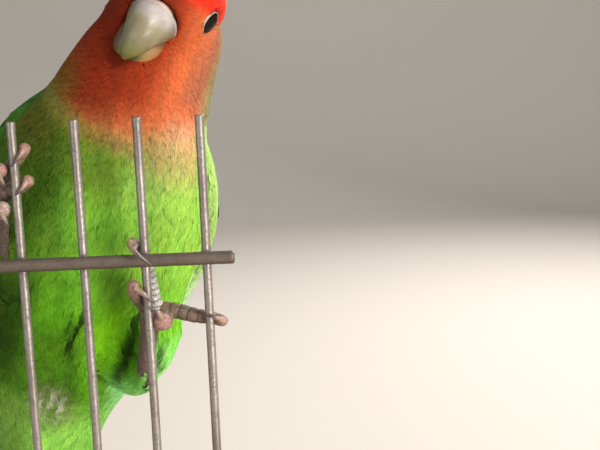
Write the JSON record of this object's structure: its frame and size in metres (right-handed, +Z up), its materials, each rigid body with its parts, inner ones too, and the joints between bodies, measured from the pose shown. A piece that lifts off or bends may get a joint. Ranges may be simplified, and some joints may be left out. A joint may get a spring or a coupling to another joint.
{
  "type": "peach faced lovebird",
  "caption": "Small short-tailed parrot with an orange-red face and green body, clinging upright to a short cut piece of wire grid on a plain display stand.",
  "frame": {"origin": "middle of the round base's flat underside", "axes": "+Z up, -Y the way the bird faces, +X towards the bird's own left"},
  "size_m": [0.116, 0.116, 0.1799],
  "materials": {
    "plumage_green": "soft overlapping feathers, bright yellow-green",
    "plumage_face": "short dense feathers, orange-red",
    "plumage_bib": "short dense feathers, peach fading to green",
    "plumage_wing": "flight feathers and coverts, deeper green",
    "plumage_tail": "tail feathers and coverts, green to blue-green",
    "leg_skin": "fine scutes, matt",
    "claw_horn": "dark horn, satin",
    "bill_horn": "pale horn, satin",
    "cere_skin": "soft skin, matt",
    "eye": "wet gloss",
    "wire_steel": "dull zinc-coated wire, slightly worn",
    "base_wood": "dark stained wood, satin"
  },
  "bodies": {
    "root": {"torso": "plumage_green", "thigh_left": "plumage_green", "thigh_right": "plumage_green", "head": "plumage_face", "neck": "plumage_bib", "wing_left": "plumage_wing", "wing_right": "plumage_wing", "tail": "plumage_tail", "shank_left": "leg_skin", "shank_right": "leg_skin", "foot_left": "leg_skin", "foot_right": "leg_skin", "claw_left_1": "claw_horn", "claw_left_2": "claw_horn", "claw_left_3": "claw_horn", "claw_left_4": "claw_horn", "claw_right_1": "claw_horn", "claw_right_2": "claw_horn", "claw_right_3": "claw_horn", "claw_right_4": "claw_horn", "bill_upper": "bill_horn", "bill_lower": "bill_horn", "cere": "cere_skin", "eye_left": "eye", "eye_right": "eye", "perch_bar": "wire_steel", "perch_wire_1": "wire_steel", "perch_wire_2": "wire_steel", "perch_wire_3": "wire_steel", "perch_wire_4": "wire_steel", "stand_rod_left": "wire_steel", "stand_rod_right": "wire_steel", "stand_base": "base_wood"}
  },
  "joints": []
}
